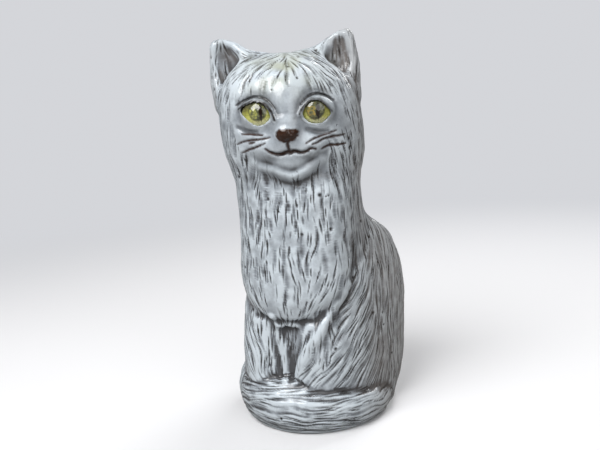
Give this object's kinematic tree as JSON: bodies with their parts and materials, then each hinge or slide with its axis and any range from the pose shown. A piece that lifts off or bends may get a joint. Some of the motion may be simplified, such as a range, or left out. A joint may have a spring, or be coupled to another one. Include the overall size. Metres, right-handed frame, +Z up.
{
  "type": "ceramic cat figurine",
  "caption": "Hand-built seated ceramic cat, hollow, with its tail round its feet; a free-standing ornament.",
  "frame": {"origin": "middle of the footprint's box, on the surface that the cat stands on", "axes": "+Z up, the body faces -Y, +X is the cat's own left"},
  "size_m": [0.077, 0.0824, 0.1789],
  "materials": {
    "white_glaze": "glossy blue-grey white glaze, dark in the incised fur strokes",
    "eye_glaze": "glossy crackled yellow-green glaze with a dark slit pupil",
    "nose_glaze": "pitted brown iron oxide",
    "bare_stoneware": "unglazed matt stoneware foot"
  },
  "bodies": {
    "root": {"base_disc": "bare_stoneware", "chest_ruff": "white_glaze", "chin": "white_glaze", "ear_left": "white_glaze", "ear_right": "white_glaze", "eye_left": "eye_glaze", "eye_right": "eye_glaze", "foreleg_left": "white_glaze", "foreleg_right": "white_glaze", "haunch_left": "white_glaze", "haunch_right": "white_glaze", "head_shell": "white_glaze", "lower_lid_left": "white_glaze", "lower_lid_right": "white_glaze", "muzzle_pad_left": "white_glaze", "muzzle_pad_right": "white_glaze", "nose_bridge": "white_glaze", "nose_tip": "nose_glaze", "tail": "white_glaze", "torso_shell": "white_glaze", "upper_lid_left": "white_glaze", "upper_lid_right": "white_glaze"}
  },
  "joints": []
}
